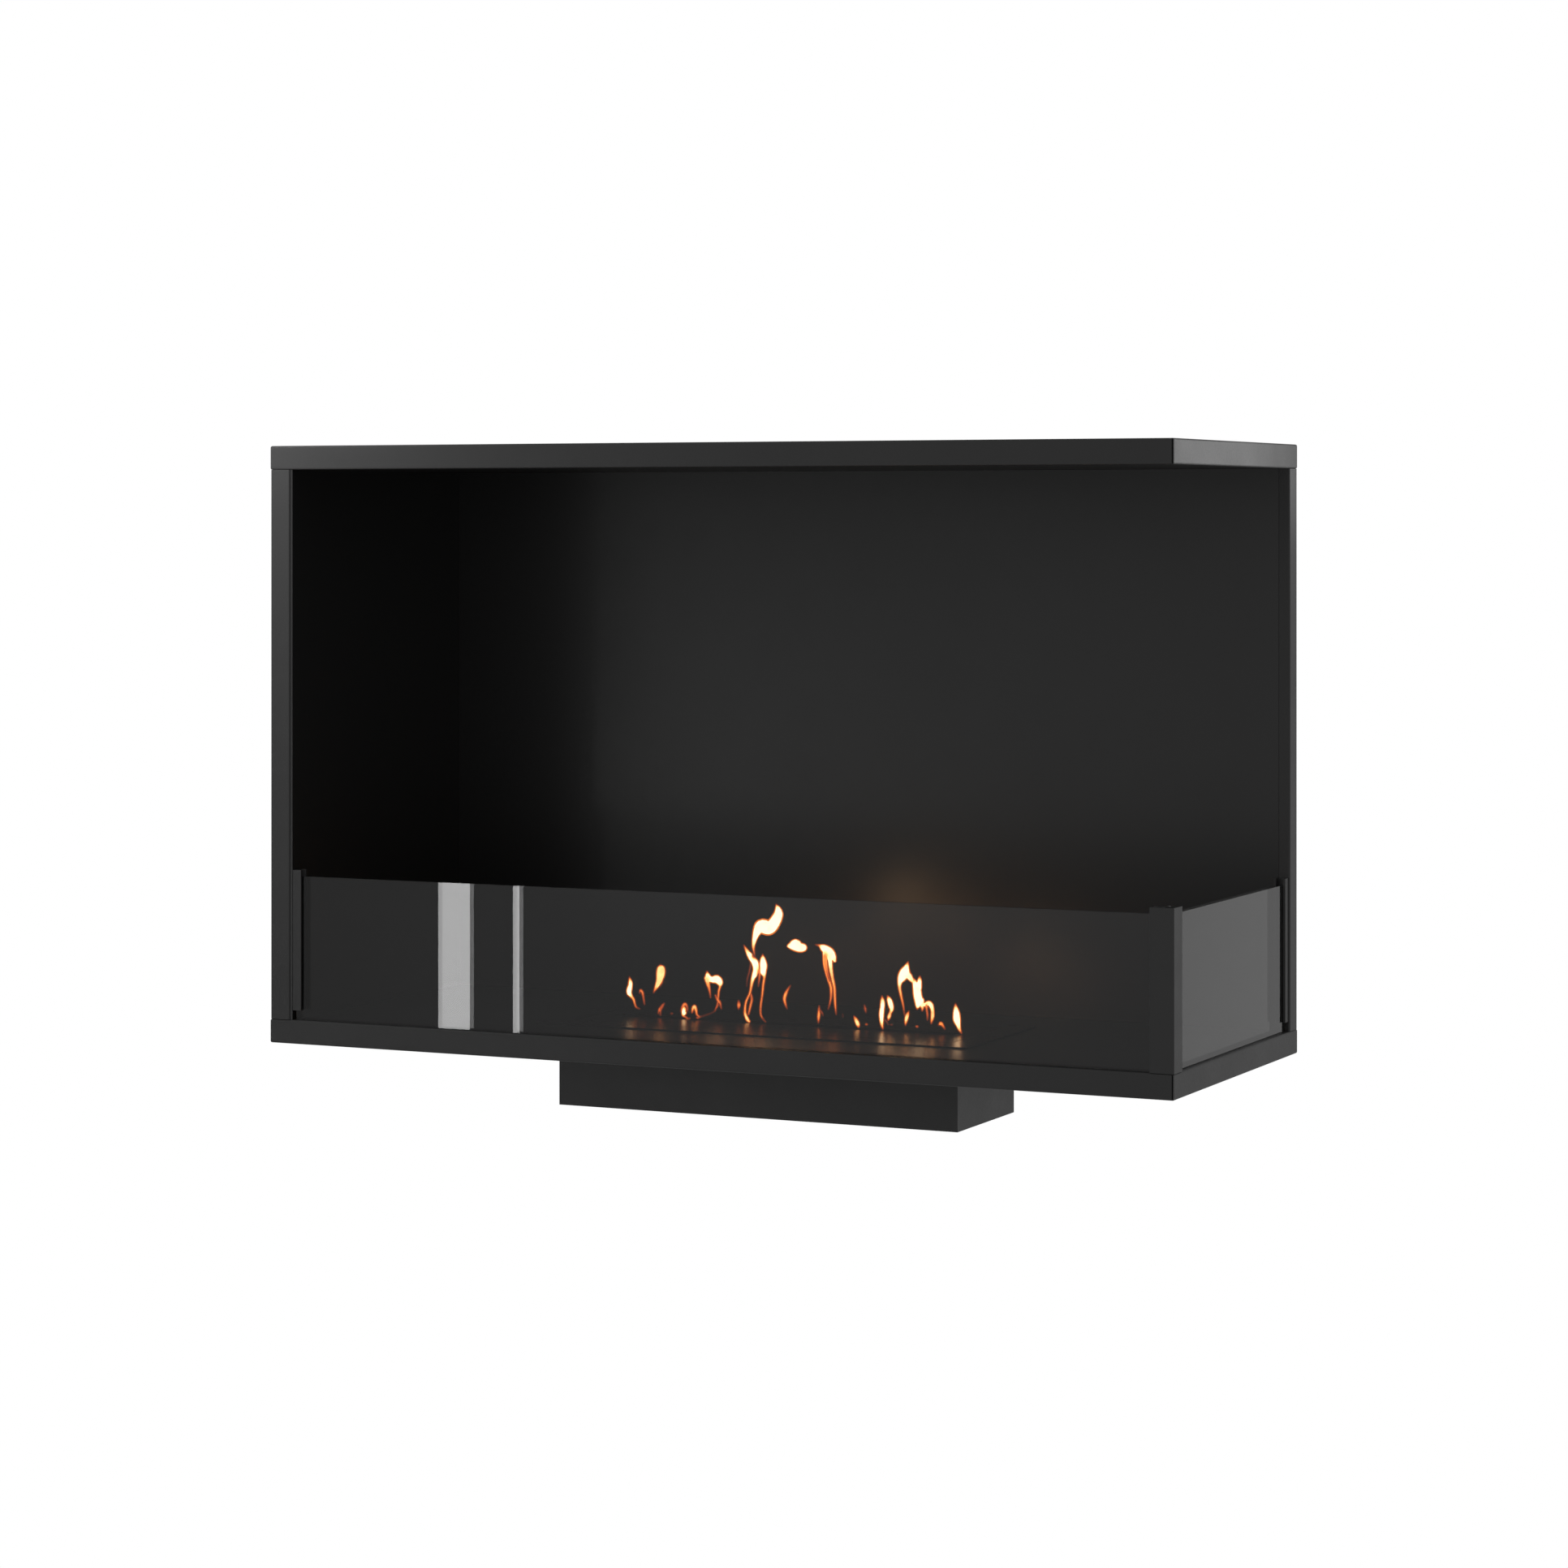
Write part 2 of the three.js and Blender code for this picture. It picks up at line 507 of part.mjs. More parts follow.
function buildWater() {
  const x0 = cassette.x0 + SHEET + LIFT_OFF_FLOOR;
  const y0 = cassette.y0 + SHEET + TANK_TO_WALL;
  const z0 = TUB_FLOOR;
  const wall = MOULDED_WALL;
  const fillerX = x0 + CASSETTE_RIM + 4 * FILLER_RADIUS;
  const fillerY = y0 + TANK_WIDTH - FILLER_RADIUS - CAP_OVERHANG;
  const z1 = z0 + TANK_HEIGHT;
  const body = block([x0, x0 + TANK_LENGTH], [y0, y0 + TANK_WIDTH], [z0, z1]);
  const hollow = block(
    [x0 + wall, x0 + TANK_LENGTH - wall], [y0 + wall, y0 + TANK_WIDTH - wall], [z0 + wall, z1 - wall],
  );
  const neck = bar('z', [fillerX, fillerY, 0], FILLER_RADIUS, z1 - wall, z1 + FILLER_HEIGHT);
  const bore = bar('z', [fillerX, fillerY, 0], FILLER_RADIUS - wall, z1 - 2 * wall, z1 + FILLER_HEIGHT + 1);
  add('water_tank', cut(join(cut(body, [hollow]), [neck]), [bore]), whitePlastic);

  const seat = z1 + FILLER_HEIGHT + FIT;
  const cap = bar('z', [fillerX, fillerY, 0], FILLER_RADIUS + CAP_OVERHANG, seat, seat + 3);
  const grip = block([fillerX - FILLER_RADIUS, fillerX + FILLER_RADIUS], [fillerY - 2, fillerY + 2],
    [seat + 1, seat + 7]);
  add('filler_cap', join(cap, [grip]), blackPlastic);

  const valveX = x0 + TANK_LENGTH + FIT;
  const valve = join(
    block([valveX, valveX + VALVE_LENGTH], [y0 + 6, y0 + TANK_WIDTH - 6], [z0, z0 + 30]),
    [bar('z', [valveX + VALVE_LENGTH / 2, y0 + TANK_WIDTH / 2, 0], 8, z0 + 20, z0 + 46)],
  );
  add('feed_valve', valve, zincSteel);
}

function buildFans() {
  const [y0, y1] = [REAR_ROW - FIT - FAN_DEPTH, REAR_ROW - FIT];
  FAN_X.forEach((x, n) => {
    const side = ['left', 'right'][n];
    const centre = [x, 0, FAN_Z];
    const frame = cut(
      block([x - FAN_SIZE / 2, x + FAN_SIZE / 2], [y0, y1], [FAN_Z - FAN_SIZE / 2, FAN_Z + FAN_SIZE / 2]),
      [bar('y', centre, FAN_BORE, y0 - 1, y1 + 1)],
    );
    const arms = [0, 90].map((degrees) => new THREE.BoxGeometry(2 * FAN_BORE + 1, 2, 3)
      .rotateY(THREE.MathUtils.degToRad(degrees)).translate(x, y1 - 1, FAN_Z));
    add(`fan_frame_${side}`, join(frame, [...arms, bar('y', centre, FAN_HUB, y1 - 2, y1)]), blackPlastic);

    const rotorY = [y0 + 1, y1 - 2 - FIT];
    const blades = Array.from({ length: FAN_BLADES }, (_, k) => {
      const blade = new THREE.BoxGeometry(FAN_BORE - 2, 1.2, 11);
      blade.translate((FAN_BORE - 2) / 2, 0, 0);
      blade.rotateX(THREE.MathUtils.degToRad(BLADE_ANGLE));
      blade.rotateY((k / FAN_BLADES) * 2 * Math.PI);
      return blade.translate(x, (rotorY[0] + rotorY[1]) / 2, FAN_Z);
    });
    add(`fan_rotor_${side}`, join(bar('y', centre, FAN_HUB, ...rotorY), blades), blackPlastic);
  });
}

function buildElectrics() {
  const standoff = [REAR_ROW - 8, REAR_ROW];
  const boardX = CENTRE_X + 10;
  const z0 = TUB_FLOOR + LIFT_OFF_FLOOR;
  const chips = [15, 50, 84].map((offset) => block(
    [boardX + offset, boardX + offset + 16], [REAR_ROW - 15, REAR_ROW - 7], [z0 + 12, z0 + 30],
  ));
  const posts = [6, BOARD_LENGTH - 6].map((offset) => bar(
    'y', [boardX + offset, 0, z0 + BOARD_HEIGHT / 2], 3, ...standoff,
  ));
  const board = block([boardX, boardX + BOARD_LENGTH], [REAR_ROW - 9, REAR_ROW - 7], [z0, z0 + BOARD_HEIGHT]);
  add('control_board', join(board, [...chips, ...posts]), boardGreen);

  const supplyX = cassette.x1 - SHEET - 10 - SUPPLY_LENGTH;
  const supplyY = cassette.y0 + SHEET + TANK_TO_WALL;
  add('power_supply', block(
    [supplyX, supplyX + SUPPLY_LENGTH], [supplyY, supplyY + TANK_WIDTH], [TUB_FLOOR, TUB_FLOOR + 34],
  ), zincSteel);

  // The inlet is a recessed socket with three contacts, its flange against the rear wall.
  const outer = cassette.y1;
  const z = BACK_FITTINGS_Z;
  const [w, h] = [INLET_WIDTH / 2, INLET_HEIGHT / 2];
  const shroud = join(
    block([INLET_X - w - 4, INLET_X + w + 4], [outer, outer + 2], [z - h - 4, z + h + 4]),
    [block([INLET_X - w + FIT, INLET_X + w - FIT], [outer - 18, outer + 1], [z - h + FIT, z + h - FIT])],
  );
  const recess = block([INLET_X - w + 3, INLET_X + w - 3], [outer - 14, outer + 3], [z - h + 3, z + h - 3]);
  const contacts = [[-7, -2], [0, 2], [7, -2]].map(([dx, dz]) => block(
    [INLET_X + dx - 1, INLET_X + dx + 1], [outer - 15, outer - 3], [z + dz - 2, z + dz + 2],
  ));
  add('mains_inlet', join(cut(shroud, [recess]), contacts), blackPlastic);

  const [sw, sh] = [SWITCH_WIDTH / 2, SWITCH_HEIGHT / 2];
  const bezel = join(
    block([SWITCH_X - sw - 4, SWITCH_X + sw + 4], [outer, outer + 2], [z - sh - 4, z + sh + 4]),
    [block([SWITCH_X - sw - 2 + FIT, SWITCH_X + sw + 2 - FIT], [outer - 14, outer + 1],
      [z - sh - 2 + FIT, z + sh + 2 - FIT])],
  );
  const well = block([SWITCH_X - sw, SWITCH_X + sw], [outer - 12, outer + 3], [z - sh, z + sh]);
  add('switch_bezel', cut(bezel, [well]), blackPlastic);

  // The rocker's face is two planes that meet at a shallow ridge over its pivot.
  const pivot = new THREE.Group();
  pivot.position.set(SWITCH_X, outer - 3.5, z);
  pivot.rotation.x = THREE.MathUtils.degToRad(ROCKER_TILT);
  casing.add(pivot);
  const rocker = outline([
    [-3.5, -sh + 1], [4, -sh + 1], [6, 0], [4, sh - 1], [-3.5, sh - 1],
  ]);
  add('power_rocker', prism(rocker, 'x', -sw + FIT, sw - FIT), blackPlastic, pivot);
}

buildPanels();
buildLiners();
buildRails();
buildGlass();
buildHousing();
buildBurnerTop();
buildMistMaker();
buildLights();
buildWater();
buildFans();
buildElectrics();

export default fireplace;
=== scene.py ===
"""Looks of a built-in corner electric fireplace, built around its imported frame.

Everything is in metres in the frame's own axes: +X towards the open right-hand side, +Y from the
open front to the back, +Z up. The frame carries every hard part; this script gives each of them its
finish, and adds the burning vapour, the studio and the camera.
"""

import json
import logging
import math
from dataclasses import dataclass, field
from enum import Enum

import bmesh
import bpy
import numpy as np
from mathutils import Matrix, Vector
from mathutils.kdtree import KDTree


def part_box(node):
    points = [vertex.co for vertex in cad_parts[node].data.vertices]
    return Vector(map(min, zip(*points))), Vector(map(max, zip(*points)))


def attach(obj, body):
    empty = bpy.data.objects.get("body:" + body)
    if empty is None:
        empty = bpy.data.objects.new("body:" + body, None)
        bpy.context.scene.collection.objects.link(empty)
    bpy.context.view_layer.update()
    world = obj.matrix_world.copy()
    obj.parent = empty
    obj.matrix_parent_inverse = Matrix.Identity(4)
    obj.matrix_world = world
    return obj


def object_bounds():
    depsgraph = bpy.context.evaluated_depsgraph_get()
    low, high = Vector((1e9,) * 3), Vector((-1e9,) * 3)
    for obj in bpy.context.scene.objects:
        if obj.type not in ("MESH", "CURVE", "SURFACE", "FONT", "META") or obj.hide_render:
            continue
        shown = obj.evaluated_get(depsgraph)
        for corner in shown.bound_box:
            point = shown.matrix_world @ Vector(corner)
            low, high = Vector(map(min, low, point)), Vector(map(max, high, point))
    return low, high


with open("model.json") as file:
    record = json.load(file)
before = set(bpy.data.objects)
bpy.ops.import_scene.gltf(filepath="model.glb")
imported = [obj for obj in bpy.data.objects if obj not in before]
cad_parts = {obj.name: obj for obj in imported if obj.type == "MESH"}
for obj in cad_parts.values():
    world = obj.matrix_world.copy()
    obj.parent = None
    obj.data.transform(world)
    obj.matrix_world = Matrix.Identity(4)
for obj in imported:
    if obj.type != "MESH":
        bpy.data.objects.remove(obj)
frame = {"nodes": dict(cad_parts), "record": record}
CAD_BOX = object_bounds()

log = logging.getLogger("fireplace")
MM = 0.001


# ---- nodes and colours ---------------------------------------------------------------------------


def linear(hex_colour: str) -> tuple[float, float, float, float]:
    """Turns an sRGB hex colour to the linear values that shaders take.

    Args:
        hex_colour: the colour as "#rrggbb".

    Returns:
        Linear red, green and blue, and an alpha of 1.
    """
    parts = [int(hex_colour[i : i + 2], 16) / 255 for i in (1, 3, 5)]
    channels = [c / 12.92 if c <= 0.04045 else ((c + 0.055) / 1.055) ** 2.4 for c in parts]
    return (*channels, 1.0)


def add_node(
    tree: bpy.types.NodeTree, kind: str, inputs: dict | None = None, **settings: object
) -> bpy.types.Node:
    """Adds a node with its settings, and sets or links its inputs.

    Args:
        tree: the node tree it goes in.
        kind: the node's type name.
        inputs: for each input, by name or number, a value or the output socket that feeds it.
        **settings: the node's own properties.

    Returns:
        The new node.
    """
    node = tree.nodes.new(kind)
    for key, value in settings.items():
        setattr(node, key, value)
    for key, value in (inputs or {}).items():
        if isinstance(value, bpy.types.NodeSocket):
            tree.links.new(value, node.inputs[key])
        else:
            node.inputs[key].default_value = value
    return node


def new_tree(name: str) -> tuple[bpy.types.Material, bpy.types.NodeTree, bpy.types.NodeSocket]:
    """Starts an empty node material.

    Args:
        name: the material's name.

    Returns:
        The material, its tree, and the surface input of its output node.
    """
    material = bpy.data.materials.new(name)
    material.use_nodes = True
    material.node_tree.nodes.clear()
    output = add_node(material.node_tree, "ShaderNodeOutputMaterial")
    return material, material.node_tree, output.inputs["Surface"]


# ---- finishes ------------------------------------------------------------------------------------


class Grain(Enum):
    """How the fine relief of a surface was made."""

    ORANGE_PEEL = "sprayed and stoved"
    BRUSHED = "rolled or brushed one way"
    SPARK = "moulded against a spark-eroded tool"


@dataclass(frozen=True)
class Finish:
    """An opaque finish: a colour with slow mottling, and a fine relief that breaks up its gloss."""

    name: str
    colour: str
    mottle: str
    roughness: float
    spread: float = 0.04
    mottle_mm: float = 60.0
    grain: Grain = Grain.ORANGE_PEEL
    grain_mm: float = 2.4
    depth_mm: float = 0.05
    metallic: float = 0.0
    ior: float = 1.5
    rounding_mm: float = 0.5
    brush_stretch: float = 0.04
    noise_span: tuple[float, float] = (0.6, 1.4)

    def material(self) -> bpy.types.Material:
        """Builds the finish as a procedural material.

        Returns:
            The material.
        """
        material, tree, surface = new_tree(self.name)
        place = add_node(tree, "ShaderNodeTexCoord").outputs["Object"]
        slow = add_node(
            tree, "ShaderNodeTexNoise",
            {"Vector": place, "Scale": 1 / (self.mottle_mm * MM), "Detail": 5.0, "Roughness": 0.6},
        )
        stretch = (1.0, 1.0, 1.0)
        if self.grain is Grain.BRUSHED:
            stretch = (self.brush_stretch, 1.0, 1.0)
        mapped = add_node(tree, "ShaderNodeMapping", {"Vector": place, "Scale": stretch})
        fine = add_node(
            tree, "ShaderNodeTexNoise",
            {
                "Vector": mapped.outputs["Vector"], "Scale": 1 / (self.grain_mm * MM),
                "Detail": 3.0 if self.grain is Grain.SPARK else 2.0, "Roughness": 0.55,
            },
        )
        colour = add_node(
            tree, "ShaderNodeMix",
            {0: slow.outputs["Fac"], 6: linear(self.colour), 7: linear(self.mottle)},
            data_type="RGBA",
        )
        both = add_node(
            tree, "ShaderNodeMath", {0: slow.outputs["Fac"], 1: fine.outputs["Fac"]},
            operation="ADD",
        )
        rough = add_node(
            tree, "ShaderNodeMapRange",
            {
                "Value": both.outputs[0],
                "From Min": self.noise_span[0], "From Max": self.noise_span[1],
                "To Min": self.roughness - self.spread, "To Max": self.roughness + self.spread,
            },
        )
        rounded = add_node(
            tree, "ShaderNodeBevel", {"Radius": self.rounding_mm * MM}, samples=4
        )
        relief = add_node(
            tree, "ShaderNodeBump",
            {
                "Strength": 1.0, "Distance": self.depth_mm * MM,
                "Height": fine.outputs["Fac"], "Normal": rounded.outputs["Normal"],
            },
        )
        shader = add_node(
            tree, "ShaderNodeBsdfPrincipled",
            {
                "Base Color": colour.outputs[2],
                "Roughness": rough.outputs["Result"], "Normal": relief.outputs["Normal"],
                "Metallic": self.metallic, "IOR": self.ior,
            },
        )
        tree.links.new(shader.outputs["BSDF"], surface)
        return material


@dataclass(frozen=True)
class Glazing:
    """Tinted toughened glass: mirrors most at a slant, and greys what is behind it."""

    name: str
    tint: str
    ior: float = 1.52
    wave_mm: float = 180.0
    wave_depth_mm: float = 0.002
    schlick_power: float = 5.0

    def material(self) -> bpy.types.Material:
        """Builds the glass as a see-through sheet with a sharp mirror on each face.

        Returns:
            The material.
        """
        material, tree, surface = new_tree(self.name)
        place = add_node(tree, "ShaderNodeTexCoord").outputs["Object"]
        # Rolled and toughened glass is a little wavy, which bends what it mirrors by a hair.
        wave = add_node(
            tree, "ShaderNodeTexNoise",
            {"Vector": place, "Scale": 1 / (self.wave_mm * MM), "Detail": 1.0},
        )
        relief = add_node(
            tree, "ShaderNodeBump",
            {
                "Strength": 1.0, "Distance": self.wave_depth_mm * MM,
                "Height": wave.outputs["Fac"],
            },
        )
        # Schlick's rule, the same from either side, so light never gets trapped in the sheet.
        straight_on = ((self.ior - 1) / (self.ior + 1)) ** 2
        slant = add_node(tree, "ShaderNodeLayerWeight", {"Blend": 0.5}).outputs["Facing"]
        steep = add_node(
            tree, "ShaderNodeMath", {0: slant, 1: self.schlick_power}, operation="POWER"
        )
        mirror_share = add_node(
            tree, "ShaderNodeMath", {0: steep.outputs[0], 1: 1 - straight_on, 2: straight_on},
            operation="MULTIPLY_ADD",
        )
        clear = add_node(tree, "ShaderNodeBsdfTransparent", {"Color": linear(self.tint)})
        mirror = add_node(
            tree, "ShaderNodeBsdfAnisotropic",
            {"Color": (1, 1, 1, 1), "Roughness": 0.0, "Normal": relief.outputs["Normal"]},
        )
        pane = add_node(
            tree, "ShaderNodeMixShader",
            {0: mirror_share.outputs[0], 1: clear.outputs[0], 2: mirror.outputs[0]},
        )
        tree.links.new(pane.outputs[0], surface)
        return material


# Polyester powder on folded steel, sprayed and stoved: near black, satin, with a fine pebble that
# sparkles a little. The real pebble is about 0.5 mm and is drawn four times as coarse to show.
POWDER_COAT = Finish(
    "polyester_powder_coat_stoved", "#242424", "#202020", roughness=0.44, spread=0.05,
    mottle_mm=90, grain=Grain.ORANGE_PEEL, grain_mm=2.2, depth_mm=0.11, ior=1.58, rounding_mm=0.6,
)
# Heat-proof stove paint on the liners: darker and smoother, so it mirrors the room softly.
STOVE_PAINT = Finish(
    "stove_paint_sprayed", "#171717", "#121212", roughness=0.34, spread=0.02,
    mottle_mm=140, grain=Grain.ORANGE_PEEL, grain_mm=2.0, depth_mm=0.035, ior=1.62,
    rounding_mm=0.4,
)
# Aluminium channel, etched and anodised black: satin, with a fine even pebble.
BLACK_ANODISED = Finish(
    "aluminium_anodised_black", "#242424", "#202020", roughness=0.42, spread=0.04,
    mottle_mm=50, grain=Grain.ORANGE_PEEL, grain_mm=2.2, depth_mm=0.09, ior=1.58, rounding_mm=0.5,
)
# Enamelled steel round the flame slot: smooth, so flames draw long streaks in it.
BURNER_ENAMEL = Finish(
    "steel_enamelled_black", "#121212", "#0d0d0d", roughness=0.29, spread=0.03,
    mottle_mm=60, grain=Grain.ORANGE_PEEL, grain_mm=3.0, depth_mm=0.006, ior=1.42,
    rounding_mm=0.4,
)
# Zinc-plated steel of hidden rails, nuts and cans: pale grey with a spangled gloss.
ZINC_PLATE = Finish(
    "steel_zinc_plated", "#a9acb0", "#8f9296", roughness=0.38, spread=0.08,
    mottle_mm=12, grain=Grain.BRUSHED, grain_mm=1.2, depth_mm=0.02, metallic=1.0,
)
# Glass-filled nylon of the fans, basin and switch: black and dull from a spark-eroded tool.
BLACK_NYLON = Finish(
    "nylon_moulded_black", "#1a1a1b", "#151516", roughness=0.55, spread=0.05,
    mottle_mm=25, grain=Grain.SPARK, grain_mm=0.9, depth_mm=0.03, ior=1.53,
)
# Natural polypropylene of the tank: milky white and waxy.
WHITE_POLYPROPYLENE = Finish(
    "polypropylene_moulded_natural", "#dcdcd6", "#cfcfc8", roughness=0.42, spread=0.05,
    mottle_mm=35, grain=Grain.SPARK, grain_mm=1.1, depth_mm=0.02, ior=1.49,
)
# Opal acrylic over the light bars: white and slightly glossy.
OPAL_ACRYLIC = Finish(
    "acrylic_extruded_opal", "#eeeeea", "#e4e4de", roughness=0.3, spread=0.03,
    mottle_mm=20, grain=Grain.SPARK, grain_mm=1.0, depth_mm=0.01, ior=1.49,
)
# Glazed piezo ceramic: cream, glassy.
PIEZO_CERAMIC = Finish(
    "ceramic_glazed_cream", "#cdc6b6", "#bdb5a3", roughness=0.18, spread=0.04,
    mottle_mm=9, grain=Grain.SPARK, grain_mm=0.8, depth_mm=0.01, ior=1.6,
)
# Solder mask on glass-epoxy board: dark green and glossy.
SOLDER_MASK = Finish(
    "glass_epoxy_board_masked", "#1c4a33", "#173d2a", roughness=0.3, spread=0.05,
    mottle_mm=6, grain=Grain.SPARK, grain_mm=0.7, depth_mm=0.02, ior=1.55,
)
# Grey-tinted toughened glass: the pane keeps about a third of the light that crosses both faces.
GREY_GLASS = Glazing("glass_toughened_grey", "#cbcbcb")


@dataclass(frozen=True)
class HardParts:
    """The casing, the glass guards and the cassette: every node of the frame, finished by slot."""

    finishes: dict[str, Finish | Glazing] = field(default_factory=lambda: {
        "powder_coated_steel": POWDER_COAT,
        "liner_steel": STOVE_PAINT,
        "zinc_steel": ZINC_PLATE,
        "black_anodised": BLACK_ANODISED,
        "burner_steel": BURNER_ENAMEL,
        "clear_glass": GREY_GLASS,
        "black_plastic": BLACK_NYLON,
        "white_plastic": WHITE_POLYPROPYLENE,
        "frosted_plastic": OPAL_ACRYLIC,
        "ceramic": PIEZO_CERAMIC,
        "circuit_board": SOLDER_MASK,
    })

    def dress(self) -> None:
        """Gives every node the finish of its slot."""
        materials = {slot: finish.material() for slot, finish in self.finishes.items()}
        for part in frame["record"]["subparts"]:
            node = frame["nodes"][part["node"]]
            node.data.materials.clear()
            node.data.materials.append(materials[part["material_slot"]])
            log.info("dressed %s as %s", part["node"], part["material_slot"])


# ---- fire ----------------------------------------------------------------------------------------


@dataclass(frozen=True)
class Glow:
    """Light of the burning vapour: dull red at heat 0, orange, yellow, and near white at heat 1."""

    name: str
    colours: tuple[tuple[float, str], ...]
    low: float
    high: float
    see_through: bool = False
    flicker_mm: float = 9.0
    flicker_share: float = 0.24

    def material(self) -> bpy.types.Material:
        """Builds the glow from the heat that the mesh carries at each point.

        Returns:
            The material.
        """
        material, tree, surface = new_tree(self.name)
        heat = add_node(tree, "ShaderNodeAttribute", attribute_name="warmth").outputs["Fac"]
        place = add_node(tree, "ShaderNodeTexCoord").outputs["Object"]
        flicker = add_node(
            tree, "ShaderNodeTexNoise",
            {"Vector": place, "Scale": 1 / (self.flicker_mm * MM), "Detail": 2.0},
        )
        uneven = add_node(
            tree, "ShaderNodeMath",
            {0: flicker.outputs["Fac"], 1: self.flicker_share, 2: heat},
            operation="MULTIPLY_ADD",
        )
        level = add_node(
            tree, "ShaderNodeMath", {0: uneven.outputs[0], 1: self.flicker_share / 2},
            operation="SUBTRACT", use_clamp=True,
        )
        ramp = add_node(tree, "ShaderNodeValToRGB", {"Fac": level.outputs[0]})
        stops = ramp.color_ramp.elements
        while len(stops) < len(self.colours):
            stops.new(0.5)
        for stop, (position, colour) in zip(stops, self.colours):
            stop.position = position
            stop.color = linear(colour)
        strength = add_node(
            tree, "ShaderNodeMapRange",
            {"Value": level.outputs[0], "To Min": self.low, "To Max": self.high},
        )
        light = add_node(
            tree, "ShaderNodeEmission",
            {"Color": ramp.outputs["Color"], "Strength": strength.outputs["Result"]},
        )
        shown = light.outputs[0]
        if self.see_through:
            clear = add_node(tree, "ShaderNodeBsdfTransparent")
            shown = add_node(
                tree, "ShaderNodeAddShader", {0: clear.outputs[0], 1: shown}
            ).outputs[0]
        tree.links.new(shown, surface)
        return material


# The core of a flame: red and dim in its thin feet, near white in its body and head.
FLAME_CORE = Glow(
    "vapour_lit_core",
    ((0.0, "#a04430"), (0.3, "#e0602c"), (0.55, "#ff9646"), (0.8, "#ffcf8a"), (1.0, "#ffe0b0")),
    low=0.4, high=5.8,
)
# The thin veil round it: orange, and it only adds light to what is behind it.
FLAME_VEIL = Glow(
    "vapour_lit_veil",
    ((0.0, "#8a3620"), (0.4, "#e05c1c"), (1.0, "#ff8028")),
    low=0.12, high=1.1, see_through=True,
)


# The least half width of a flame, and the least one that its sampling is spaced for.
THINNEST_MM = 0.35
CLOSEST_MM = 0.5


@dataclass(frozen=True)
class Lick:
    """One stroke of flame, as points (across, up, half width) in mm from the casing's corner."""

    glow: float
    points: tuple[tuple[float, float, float], ...]

    def samples(self, step: float) -> list[tuple[float, float, float]]:
        """Runs a smooth curve through the points.

        Args:
            step: the distance between samples, as a share of the half width there.

        Returns:
            Points along the curve, close enough to merge into one body.
        """
        ends = [self.points[0], *self.points, self.points[-1]]
        made = []
        for a, b, c, d in zip(ends, ends[1:], ends[2:], ends[3:]):
            length = math.dist(b[:2], c[:2])
            count = max(2, round(length / (step * max(CLOSEST_MM, min(b[2], c[2])))))
            for n in range(count):
                t = n / count
                made.append(tuple(
                    0.5 * (2 * q + (r - p) * t + (2 * p - 5 * q + 4 * r - s) * t * t
                           + (3 * q - p - 3 * r + s) * t ** 3)
                    for p, q, r, s in zip(a, b, c, d)
                ))
        made.append(self.points[-1])
        return [(x, z, max(h, THINNEST_MM)) for x, z, h in made]


